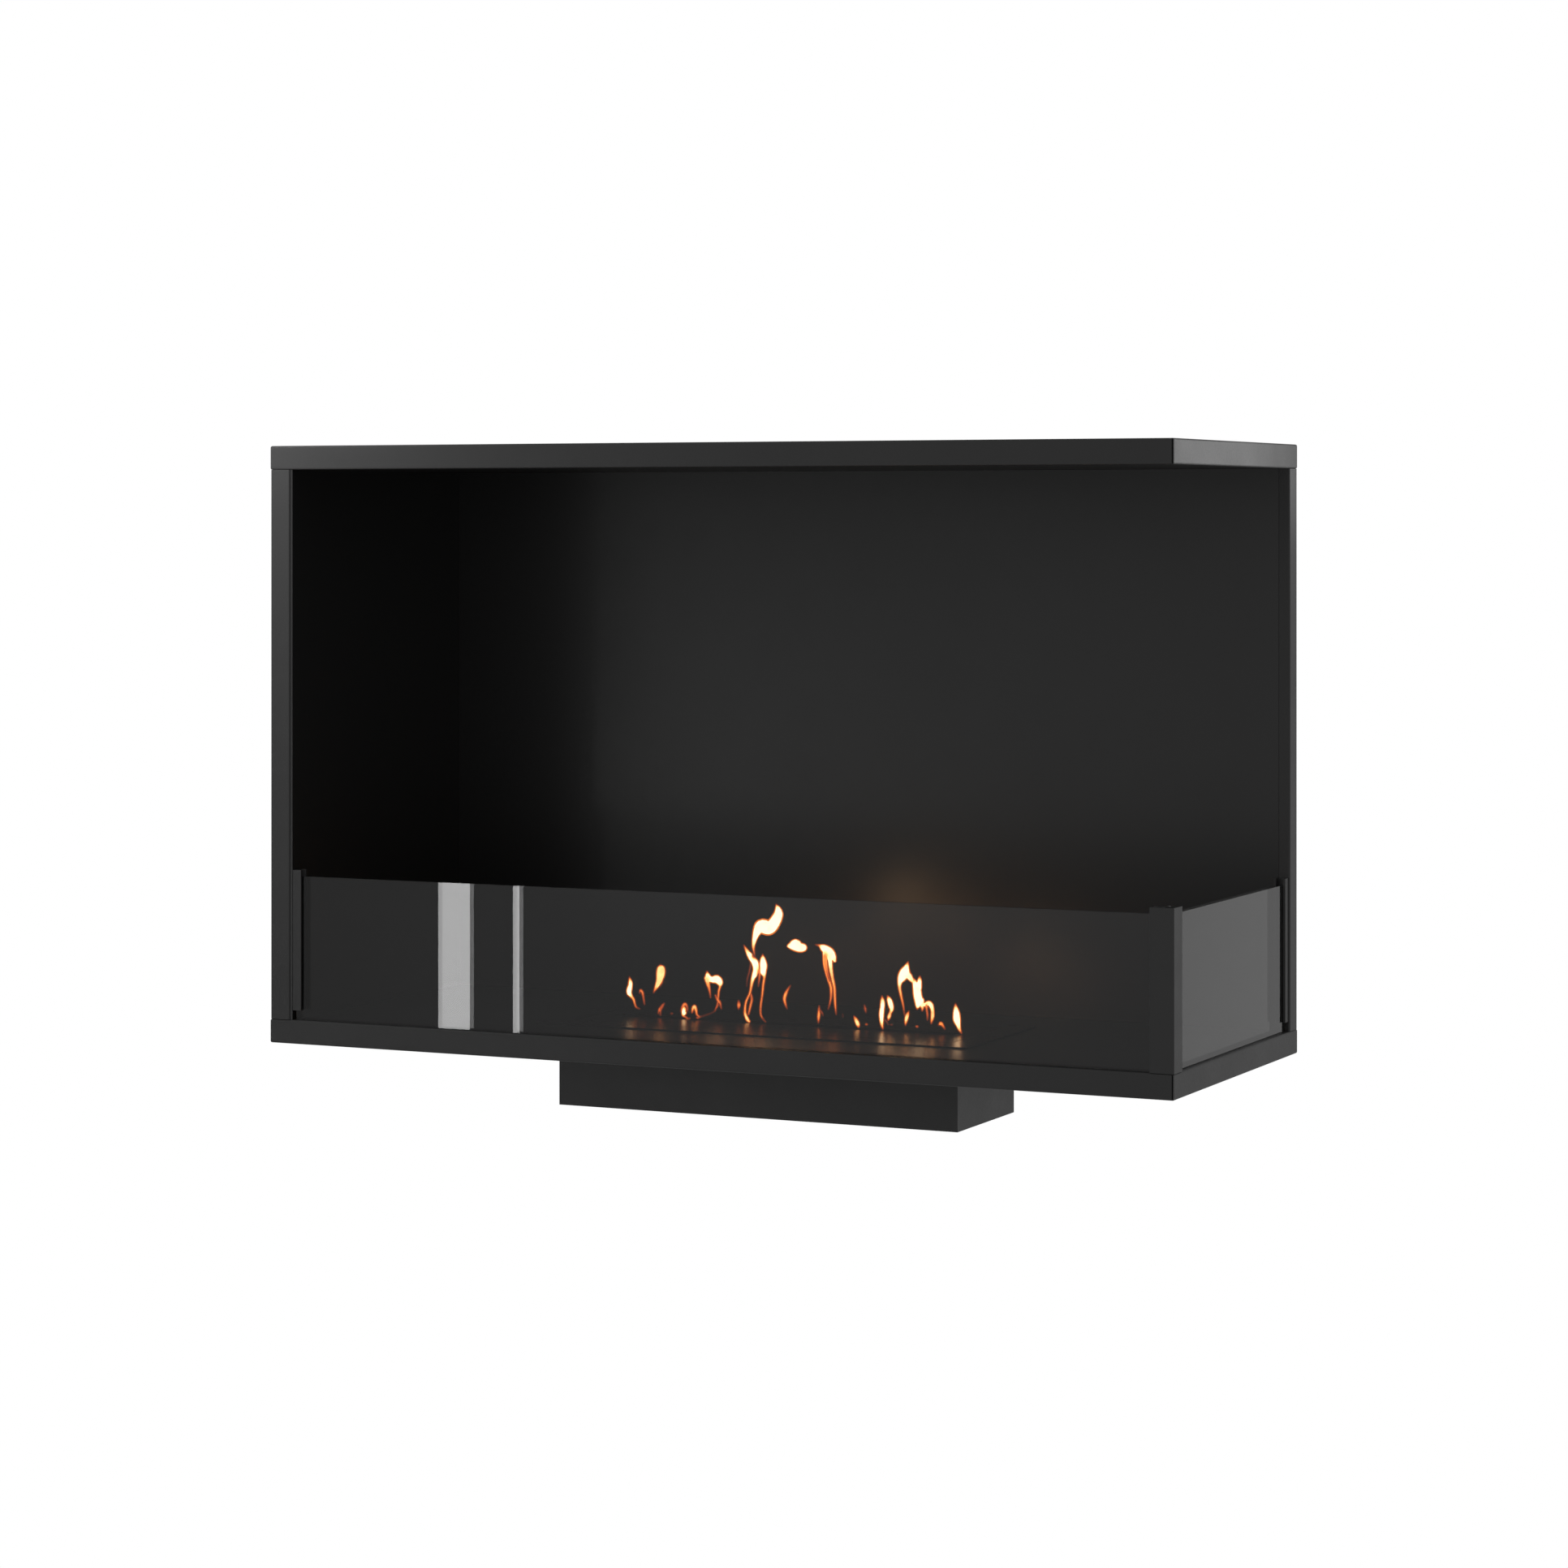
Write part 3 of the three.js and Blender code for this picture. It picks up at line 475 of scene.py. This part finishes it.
FLAMES: dict[str, tuple[Lick, ...]] = {
    "far_left_spear": (
        Lick(1.0, ((398.4, 80, .4), (399.7, 73, 2.2), (399.8, 70, 2.4), (398.6, 65, 3), (398, 60, 2.8),
                   (401.7, 55, 1.5), (404.3, 52, 1.3), (405.9, 47, 1), (408, 42.5, .8), (413, 40.5, .4))),
        Lick(.5, ((398, 62, 2), (396, 58.5, 1.6), (395, 55.5, .5))),
    ),
    "left_hook": (
        Lick(.75, ((413.4, 60.5, .6), (414.7, 64, 1.2), (417.3, 61, 1.3), (418.5, 56, 1),
                   (419.4, 51, .8), (420.2, 46.5, .5))),
    ),
    "teardrop": (
        Lick(.72, ((443.7, 97.8, .5), (444.5, 92, 4.6), (444, 86, 5), (442.5, 79, 3.8), (440, 73, 2.8),
                   (436, 66, 1.3), (434, 62, .5))),
        Lick(.45, ((442.5, 76, 2), (441.4, 72, 1), (440.6, 69, .5))),
    ),
    "left_sprig": (
        Lick(.6, ((438.2, 36, .8), (440.3, 41.5, 1.3), (441.3, 33.5, .6))),
        Lick(.4, ((443.2, 41.8, 1.5), (446, 46, 1.5), (448.9, 49.5, .6))),
        Lick(.35, ((458.4, 37, .8), (459.8, 37, .8))),
    ),
    "small_arch": (
        Lick(.6, ((470, 39.5, .8), (472.5, 46, 1.5), (475.6, 49.3, 1.6), (478.3, 46, 1.2),
                  (479.2, 41, .7))),
        Lick(1.0, ((475.2, 44, 2.2), (475.4, 41, 3.2), (474.5, 37.5, 2.4), (474, 34.5, 1),
                   (478, 33, .8), (480, 30.8, .7), (482.6, 32, .5))),
    ),
    "crook": (
        Lick(.9, ((488.2, 40.3, .8), (489.5, 45.5, 1.5), (491.8, 47.5, 1.8), (493.9, 42.5, 1.3),
                  (495, 37.8, 1), (499, 35, .8))),
        Lick(.35, ((499, 35, .7), (509, 38.5, .5), (516, 41.5, .5), (520.7, 47, .6), (522.2, 55, .6))),
        Lick(.9, ((492.6, 33, .9), (493.8, 33, .9))),
    ),
    "molar": (
        Lick(1.0, ((507.8, 92.3, .5), (508.6, 87.5, 2.4), (510.5, 83.5, 3.6), (515.5, 82.3, 3.6),
                   (521.5, 83, 4.6), (525.4, 79.5, 3.6), (526, 75, 1.5), (524.2, 68.5, 1.1),
                   (523.4, 61, 1), (521.8, 50, 1), (518.2, 43, .5))),
        Lick(.7, ((509, 84, 3), (510.4, 77, 2), (512.5, 69.5, 1.2), (514, 60, .6))),
        Lick(.65, ((518.7, 62.8, .8), (522, 57, 1.3), (525, 53.8, 1.3), (527, 46.5, .5))),
        Lick(.6, ((550.2, 57.5, .6), (550.6, 52, 1.7), (550, 47, .6))),
    ),
    "crown": (
        Lick(1.0, ((574.6, 115, .5), (573.3, 121, 1), (572.9, 127, 1.6), (573.9, 133.5, 2.4),
                   (575.8, 140, 3.5), (579, 147, 5.4), (583.4, 152, 7.6), (588.5, 151.5, 8.6),
                   (594, 150.5, 8.2), (599, 154, 7.4), (603.6, 160.5, 6.6), (607, 167.5, 5.4),
                   (606.8, 173.5, 3.4), (604, 180, .5))),
    ),
    "centre_left": (
        Lick(1.0, ((560, 127.3, .5), (565, 119.3, 2), (570, 113, 3.5), (575, 106.5, 4), (577, 99, 3.8),
                   (576, 94, 3.6), (573, 88, 2.3), (571, 81.7, 1.6), (569.3, 72.6, 1.2),
                   (567.6, 67, 1.1), (563, 57.5, 1.1), (561.5, 48.5, 1.2), (561.8, 41.5, 1.5),
                   (565, 35, 1.7), (567.2, 33, 1.2))),
        Lick(.75, ((567.6, 66, 1), (568.6, 60, 1.2), (566.8, 52, 1.2), (564.3, 41.8, 1))),
        Lick(.3, ((568, 107.8, .8), (565.5, 94, .9), (563, 86, .8), (562, 76, .4))),
    ),
    "centre_leaf": (
        Lick(1.0, ((586, 117.5, .4), (586.5, 109, 3.3), (587, 103, 4.3), (586.6, 96, 3.6),
                   (588.3, 89.7, 1.4), (586.9, 80.7, 1.2), (586, 71.8, 1.1), (585, 64, 1),
                   (583.7, 56, 1), (583, 47.2, .9), (584.2, 40.5, .8), (590, 33.5, .4))),
        Lick(.6, ((584.5, 100, 2), (581.6, 96, 1.6), (580.5, 87, 1.1), (579.2, 77, .5))),
    ),
    "puff": (
        Lick(1.0, ((618.6, 128.6, 1.4), (622, 129, 3.4), (628, 129, 5.6), (634, 127.5, 5.4),
                   (638.5, 127.5, 4.6), (641, 127.5, 2))),
        Lick(1.0, ((626, 132.5, 3.2), (629.5, 134, 3.6), (633, 132.6, 3.6))),
    ),
    "crescent": (
        Lick(.8, ((624.3, 80.7, .4), (620.4, 75, 1.1), (617.2, 68.5, 1.6), (616, 63, 1.5),
                  (617.8, 56, 1), (619.6, 51.5, .4))),
    ),
    "hammer": (
        Lick(1.0, ((657, 132.3, .4), (663, 131, 1.5), (668.8, 128, 4.2), (675, 124, 5.4),
                   (680, 119, 3.8), (682.8, 113.5, 1.6))),
        Lick(.85, ((669, 125, 3.2), (667.6, 118, 1.8), (668, 107.5, 1.5), (670.6, 97.5, 1.4),
                   (673.7, 88.6, 1.4), (676.7, 79.8, 1.4), (676.7, 68.5, 1.1), (675, 59.5, .8),
                   (673, 53, .4))),
        Lick(.9, ((676, 121, 3.6), (677.4, 113, 2.6), (678.4, 104, 2.1), (680.5, 92.7, 1.6),
                  (683.3, 80.5, 1.4), (683.8, 71.5, 1.3), (684.4, 60.3, 1.2), (685.6, 48, .5))),
        Lick(.5, ((671.5, 120, 2.4), (672, 110, 2.2), (674, 99, 1.6), (677, 88, 1))),
    ),
    "right_foot": (
        Lick(.75, ((661, 56.2, .6), (660.7, 47, 1.5), (660.2, 41, 1.3), (660, 36, .6))),
        Lick(.5, ((661.5, 52, .8), (665, 48.5, .8), (666.5, 45, .4))),
        Lick(.3, ((695, 48.5, .5), (695.3, 45.5, .5))),
        Lick(.9, ((709.8, 46.7, .6), (712.6, 42, 1.9), (715, 37, 2), (715.8, 34, .8))),
        Lick(.35, ((721.8, 60.5, .7), (723, 56, 1.3), (724, 51.5, .6))),
        Lick(.5, ((725.2, 37.4, .8), (726.2, 37.4, .8))),
    ),
    "twin_left": (
        Lick(1.0, ((748, 74, .4), (748.8, 67, 2.2), (748.5, 60, 2.5), (747.5, 53, 2.7), (747.5, 46, 2.4),
                   (748, 39, 1.6), (749.2, 33.6, .6))),
        Lick(.4, ((749.7, 45, .8), (752.5, 42.5, .8), (755, 39, .5))),
        Lick(.4, ((757.5, 38.5, .7), (758.6, 38.5, .7))),
    ),
    "twin_right": (
        Lick(.95, ((754.5, 74.3, .5), (757, 69, 2.5), (759, 63, 2.9), (760, 57.5, 2), (758.3, 53.5, 1.5),
                   (756.5, 48.5, 1.8), (755.5, 44.5, .6))),
    ),
    "great_arch": (
        Lick(1.0, ((782.7, 117.2, .5), (780.4, 110, 3), (778, 104, 5.6), (775, 98.5, 5),
                   (772, 92.5, 2.6), (771.5, 85, 1.6), (774, 72.9, 1.2), (776.2, 64, .9),
                   (778, 52, .5))),
        Lick(.9, ((778, 102, 4.6), (782.5, 98.5, 3.4), (786, 94.5, 2.2), (790, 92, 2))),
        Lick(.9, ((781.6, 56.5, .5), (779, 49.5, 2), (777.5, 43, 1.4), (777, 39, .5))),
    ),
    "horned": (
        Lick(1.0, ((789.6, 97.5, .5), (791.5, 91.5, 2.6), (794, 86, 4.4), (795, 78, 4.8),
                   (796.6, 70, 4.6), (795.6, 64.5, 2.6), (794.6, 60.5, .7))),
        Lick(1.0, ((797.8, 100.5, .5), (797.4, 94, 2.4), (796, 86, 3.6))),
        Lick(1.0, ((797.5, 70, 3.6), (799.3, 62.5, 1.8), (799.2, 57.7, .6))),
        Lick(.9, ((799.5, 66, 2.6), (803.6, 65.5, 2.2), (808, 67.6, 2.6), (811.3, 65.6, 2.6),
                  (813.4, 59.5, 1.9), (813.6, 52, 1.9), (812.4, 46.5, 1.2), (811.9, 43, .5))),
        Lick(.7, ((807, 65, 1.6), (807.6, 60, 1.1), (808.5, 54, 1), (808.6, 47.8, .5))),
        Lick(.85, ((792.9, 38.5, .9), (794.2, 38.5, .9))),
    ),
    "far_right": (
        Lick(.75, ((820.9, 41.2, .6), (823.6, 43.4, 1.8), (826.6, 40.6, 1.2), (829, 37, .5))),
        Lick(1.0, ((844.4, 69.3, .4), (845, 63, 2.2), (845.8, 57, 3.7), (846.3, 50, 4.1),
                   (848, 44, 2.6), (850, 38, 1.5), (852.5, 33.6, .5))),
    ),
}


@dataclass(frozen=True)
class Ball:
    """A small ball of glowing vapour, in metres, with its heat."""

    centre: Vector
    radius: float
    heat: float


@dataclass
class Fire:
    """All the flames, as one core and one veil that stand in the slot of the top plate."""

    voxel: float = 0.55
    inset: float = 0.25
    rim: float = 0.75
    rim_share: float = 0.12
    sway: float = 3.0
    sway_turn: float = 1.7
    least_heat: float = 0.04
    full_heat_half_width: float = 2.5
    ball_step: float = 0.5
    ball_subdivisions: int = 2
    smooth_factor: float = 0.5
    smooth_passes: int = 4
    heat_neighbours: int = 6

    def balls(self, grow: float, share: float) -> list[Ball]:
        """Lists the balls that the flames are built from.

        Args:
            grow: how much wider each ball is than the flame's core, in mm.
            share: how much wider it is as a share of its own radius.

        Returns:
            The balls, stroke by stroke.
        """
        slot_y = (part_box("burner_top_plate")[0][1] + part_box("burner_top_plate")[1][1]) / 2
        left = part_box("left_panel")[0][0]
        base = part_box("base_panel")[0][2]
        made = []
        licks = [lick for flame in FLAMES.values() for lick in flame]
        for number, lick in enumerate(licks):
            depth = slot_y + self.sway * MM * math.sin(number * self.sway_turn)
            for x, z, half in lick.samples(self.ball_step):
                heat = lick.glow * min(1.0, self.least_heat + half / self.full_heat_half_width)
                centre = Vector((left + x * MM, depth, base + z * MM))
                made.append(Ball(centre, (half + grow + share * half) * MM, heat))
        return made

    def cluster(self, name: str, balls: list[Ball]) -> bpy.types.Mesh:
        """Makes one loose mesh of all the balls.

        Args:
            name: the mesh's name.
            balls: the balls.

        Returns:
            The mesh, its balls still apart.
        """
        unit = bmesh.new()
        bmesh.ops.create_icosphere(unit, subdivisions=self.ball_subdivisions, radius=1.0)
        points = np.array([vertex.co for vertex in unit.verts])
        faces = np.array([[vertex.index for vertex in face.verts] for face in unit.faces])
        unit.free()
        centres = np.array([ball.centre for ball in balls])
        radii = np.array([ball.radius for ball in balls])
        placed = centres[:, None, :] + radii[:, None, None] * points[None]
        joined = faces[None] + len(points) * np.arange(len(balls))[:, None, None]
        mesh = bpy.data.meshes.new(name)
        mesh.from_pydata(placed.reshape(-1, 3).tolist(), [], joined.reshape(-1, 3).tolist())
        return mesh

    def melt(self, rough: bpy.types.Mesh) -> bpy.types.Mesh:
        """Melts loose balls into one smooth closed skin, and drops the loose mesh.

        Args:
            rough: the mesh of balls.

        Returns:
            The skin.
        """
        draft = bpy.data.objects.new(rough.name, rough)
        bpy.context.scene.collection.objects.link(draft)
        remesh = draft.modifiers.new("melt", "REMESH")
        remesh.mode = "VOXEL"
        remesh.voxel_size = self.voxel * MM
        smooth = draft.modifiers.new("smooth", "SMOOTH")
        smooth.factor = self.smooth_factor
        smooth.iterations = self.smooth_passes
        graph = bpy.context.evaluated_depsgraph_get()
        mesh = bpy.data.meshes.new_from_object(draft.evaluated_get(graph))
        bpy.data.objects.remove(draft)
        bpy.data.meshes.remove(rough)
        mesh.shade_smooth()
        return mesh

    def warm(self, mesh: bpy.types.Mesh, balls: list[Ball]) -> None:
        """Stores on each point of a skin the mean heat of the balls nearest to it.

        Args:
            mesh: the skin.
            balls: the balls it was made from.
        """
        tree = KDTree(len(balls))
        for index, ball in enumerate(balls):
            tree.insert(ball.centre, index)
        tree.balance()
        heats = np.array([
            np.mean([balls[i].heat for _, i, _ in tree.find_n(vertex.co, self.heat_neighbours)])
            for vertex in mesh.vertices
        ])
        mesh.attributes.new("warmth", "FLOAT", "POINT").data.foreach_set("value", heats)

    def body(self, name: str, grow: float, share: float, glow: Glow) -> bpy.types.Object:
        """Builds one layer of the flames and sets it on the top plate.

        Args:
            name: the piece's name.
            grow: the extra half width in mm.
            share: the extra half width as a share of the flame's own.
            glow: the light it gives.

        Returns:
            The piece.
        """
        balls = self.balls(grow, share)
        mesh = self.melt(self.cluster(name + "_balls", balls))
        mesh.name = name
        self.warm(mesh, balls)
        mesh.materials.clear()
        mesh.materials.append(glow.material())
        piece = bpy.data.objects.new(name, mesh)
        bpy.context.scene.collection.objects.link(piece)
        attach(piece, "top_plate")
        log.info("%s: %d points", name, len(mesh.vertices))
        return piece

    def build(self) -> None:
        """Builds the core and the veil."""
        self.body("flame_cores", -self.inset, 0.0, FLAME_CORE)
        veil = self.body("flame_veils", self.rim, self.rim_share, FLAME_VEIL)
        veil.visible_shadow = False


# ---- studio --------------------------------------------------------------------------------------


@dataclass(frozen=True)
class Lobe:
    """One soft bright region of the studio, seen only by its light and its reflections."""

    towards: tuple[float, float, float]
    tightness: float
    strength: float


@dataclass(frozen=True)
class Card:
    """An upright strip light, seen only as it is mirrored in glass and gloss."""

    name: str
    across: tuple[float, float]
    depth: float
    upright: tuple[float, float]
    strength: float

    def build(self) -> None:
        """Makes the card facing the object."""
        (x0, x1), (z0, z1) = self.across, self.upright
        mesh = bpy.data.meshes.new(self.name)
        corners = [(x0, self.depth, z0), (x1, self.depth, z0), (x1, self.depth, z1),
                   (x0, self.depth, z1)]
        mesh.from_pydata(corners, [], [(3, 2, 1, 0)])
        card = bpy.data.objects.new(self.name, mesh)
        bpy.context.scene.collection.objects.link(card)
        material, tree, surface = new_tree(self.name)
        light = add_node(
            tree, "ShaderNodeEmission", {"Color": (1, 1, 1, 1), "Strength": self.strength}
        )
        tree.links.new(light.outputs[0], surface)
        mesh.materials.append(material)
        card.visible_camera = False
        card.visible_diffuse = False
        card.visible_shadow = False
        card.visible_transmission = False
        log.info("%s placed", self.name)


@dataclass(frozen=True)
class SoftBox:
    """A square soft light aimed at a point of the object."""

    name: str
    place: tuple[float, float, float]
    aim: tuple[float, float, float]
    size: float
    watts: float
    mirrored: bool

    def build(self) -> None:
        """Makes the lamp and aims it."""
        lamp = bpy.data.lights.new(self.name, "AREA")
        lamp.size = self.size
        lamp.energy = self.watts
        box = bpy.data.objects.new(self.name, lamp)
        box.location = self.place
        aim = Vector(self.aim) - Vector(self.place)
        box.rotation_euler = aim.to_track_quat("-Z", "Y").to_euler()
        box.visible_camera = False
        box.visible_glossy = self.mirrored
        bpy.context.scene.collection.objects.link(box)
        log.info("%s placed", self.name)


@dataclass
class Studio:
    """A white cyclorama, a soft grey surround that lights the object, and two strip lights."""

    surround: float = 0.36
    backdrop: float = 1.0
    floor_size: float = 30.0
    floor_gap_mm: float = 1.0
    lobes: list[Lobe] = field(default_factory=lambda: [
        Lobe((0.32, 0.94, -0.1), 8.0, 0.15),
        Lobe((-0.43, -0.9, -0.02), 200.0, 0.14),
    ])
    cards: tuple[Card, ...] = (
        Card("strip_light_wide", (-1.9695, -1.8958), -3.0, (-0.38, 0.02), 7.1),
        Card("strip_light_narrow", (-1.7966, -1.7818), -3.0, (-0.38, 0.02), 7.1),
    )
    soft_boxes: tuple[SoftBox, ...] = (
        SoftBox("soft_box_left", (-0.85, -0.6, 1.05), (-0.6, -0.22, 0.8), 0.3, 12.5, False),
        SoftBox("soft_box_right", (0.84, 0.42, 0.84), (0.6, -0.2, 0.8), 0.22, 0.34, True),
    )

    def build_world(self) -> None:
        """Makes the world: white behind the object, soft and uneven for light and reflections."""
        world = bpy.data.worlds.new("studio")
        bpy.context.scene.world = world
        world.use_nodes = True
        tree = world.node_tree
        tree.nodes.clear()
        direction = add_node(tree, "ShaderNodeTexCoord").outputs["Generated"]
        total = add_node(tree, "ShaderNodeValue").outputs[0]
        total.default_value = self.surround
        for lobe in self.lobes:
            axis = Vector(lobe.towards).normalized()
            facing = add_node(
                tree, "ShaderNodeVectorMath", {0: direction, 1: axis}, operation="DOT_PRODUCT"
            )
            positive = add_node(
                tree, "ShaderNodeMath", {0: facing.outputs["Value"], 1: 0.0}, operation="MAXIMUM"
            )
            shaped = add_node(
                tree, "ShaderNodeMath", {0: positive.outputs[0], 1: lobe.tightness},
                operation="POWER",
            )
            total = add_node(
                tree, "ShaderNodeMath", {0: shaped.outputs[0], 1: lobe.strength, 2: total},
                operation="MULTIPLY_ADD",
            ).outputs[0]
        lighting = add_node(
            tree, "ShaderNodeBackground", {"Color": (1, 1, 1, 1), "Strength": total}
        )
        behind = add_node(
            tree, "ShaderNodeBackground", {"Color": (1, 1, 1, 1), "Strength": self.backdrop}
        )
        path = add_node(tree, "ShaderNodeLightPath")
        mixed = add_node(
            tree, "ShaderNodeMixShader",
            {0: path.outputs["Is Camera Ray"], 1: lighting.outputs[0], 2: behind.outputs[0]},
        )
        add_node(tree, "ShaderNodeOutputWorld", {"Surface": mixed.outputs[0]})

    def build_floor(self) -> None:
        """Lays the pale floor just under the object."""
        half = self.floor_size / 2
        mesh = bpy.data.meshes.new("studio_floor")
        corners = [(-half, -half, 0), (half, -half, 0), (half, half, 0), (-half, half, 0)]
        mesh.from_pydata(corners, [], [(0, 1, 2, 3)])
        floor = bpy.data.objects.new("studio_floor", mesh)
        floor.location.z = CAD_BOX[0][2] - self.floor_gap_mm * MM
        bpy.context.scene.collection.objects.link(floor)
        material, tree, surface = new_tree("cyclorama_paint_white")
        glow = add_node(
            tree, "ShaderNodeEmission", {"Color": (1, 1, 1, 1), "Strength": self.backdrop}
        )
        tree.links.new(glow.outputs[0], surface)
        mesh.materials.append(material)
        floor.visible_diffuse = False
        floor.visible_glossy = False
        floor.visible_shadow = False

    def build(self) -> None:
        """Builds the whole studio."""
        self.build_world()
        self.build_floor()
        for light in (*self.cards, *self.soft_boxes):
            light.build()
        log.info("studio ready")


@dataclass
class Viewpoint:
    """A level view camera at the height of the firebox's middle, with a little fall."""

    place: tuple[float, float, float] = (2.1319, -4.5271, 0.7306)
    turn_degrees: float = 25.14
    lens: float = 92.307
    fall: float = -0.16896
    sensor_mm: float = 36.0
    farthest: float = 100.0

    def build(self) -> None:
        """Makes the camera and sets it as the scene's."""
        data = bpy.data.cameras.new("view")
        data.lens = self.lens
        data.sensor_width = self.sensor_mm
        data.shift_y = self.fall
        data.clip_end = self.farthest
        camera = bpy.data.objects.new("view", data)
        camera.location = self.place
        camera.rotation_euler = (math.pi / 2, 0.0, math.radians(self.turn_degrees))
        bpy.context.scene.collection.objects.link(camera)
        bpy.context.scene.camera = camera
        log.info("view ready")


def main() -> None:
    """Builds the studio, the camera and every piece in order, and reports each."""
    logging.basicConfig(level=logging.INFO, format="%(name)s: %(message)s")
    bpy.context.scene.view_settings.view_transform = "Standard"
    Viewpoint().build()
    Studio().build()
    HardParts().dress()
    Fire().build()


if __name__ == "__main__":
    main()
